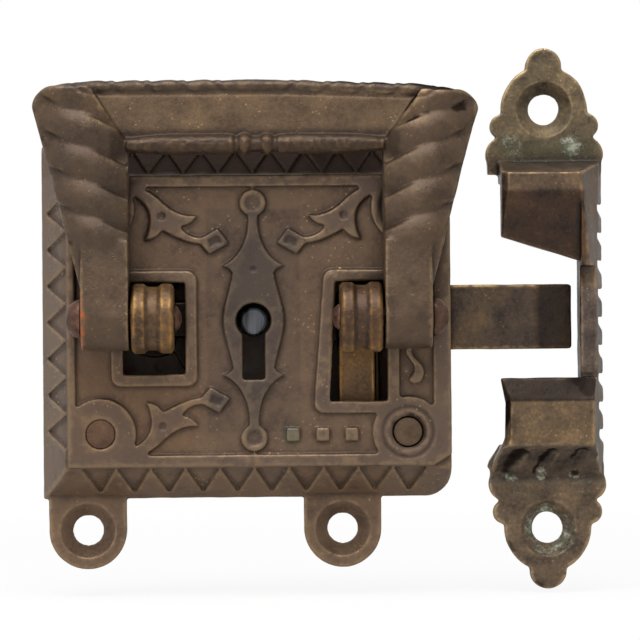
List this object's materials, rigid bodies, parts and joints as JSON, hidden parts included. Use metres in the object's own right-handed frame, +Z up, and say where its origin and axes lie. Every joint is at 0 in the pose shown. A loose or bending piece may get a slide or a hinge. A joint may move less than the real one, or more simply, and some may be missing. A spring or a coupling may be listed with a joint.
{
  "type": "ice box lock",
  "caption": "Ornamented cast latch lock with a folding bail handle, a swinging bolt and its separate door keeper.",
  "frame": {"origin": "on the key axis, in the plane of the door that the lock and keeper are screwed to", "axes": "+Z up, +X from the lock toward its keeper, +Y into the door; the front faces -Y"},
  "size_m": [0.1146, 0.0277, 0.1096],
  "materials": {
    "case_bronze": "aged brown cast bronze, worn at the edges",
    "handle_bronze": "aged brown cast bronze, handled",
    "lever_bronze": "cast bronze, rubbed bright on the eyes",
    "keeper_bronze": "aged cast bronze with pale green corrosion in the crevices",
    "pin_steel": "rusty steel",
    "rivet_copper": "copper-coloured rivet, filed flush",
    "works_steel": "grey steel"
  },
  "bodies": {
    "lock_body": {"case": "case_bronze", "back_plate": "works_steel", "case_rivets": "rivet_copper", "pivot_stud": "works_steel", "pivot_washer": "works_steel", "key_stop": "works_steel", "dog_guide_screws": "works_steel", "dog_spring": "works_steel", "dog_spring_screw": "works_steel", "keeper": "keeper_bronze"},
    "lever_body": {"latch_lever": "lever_bronze", "left_hinge_pin": "pin_steel", "right_hinge_pin": "pin_steel"},
    "handle_body": {"handle": "handle_bronze"},
    "dog_body": {"lock_dog": "works_steel"}
  },
  "joints": [
    {"name": "lever_swing", "type": "hinge", "parent": "lock_body", "child": "lever_body", "pos_m": [-0.0198, -0.004, 0.0004], "axis": [0, 1, 0], "range_deg": [0, 12.5]},
    {"name": "handle_fold", "type": "hinge", "parent": "lever_body", "child": "handle_body", "pos_m": [0.0007, -0.0208, 0.0004], "axis": [1, 0, 0], "range_deg": [0, 170]},
    {"name": "dog_slide", "type": "slide", "parent": "lock_body", "child": "dog_body", "axis": [1, 0, 0], "range_m": [0, 0.005]}
  ]
}
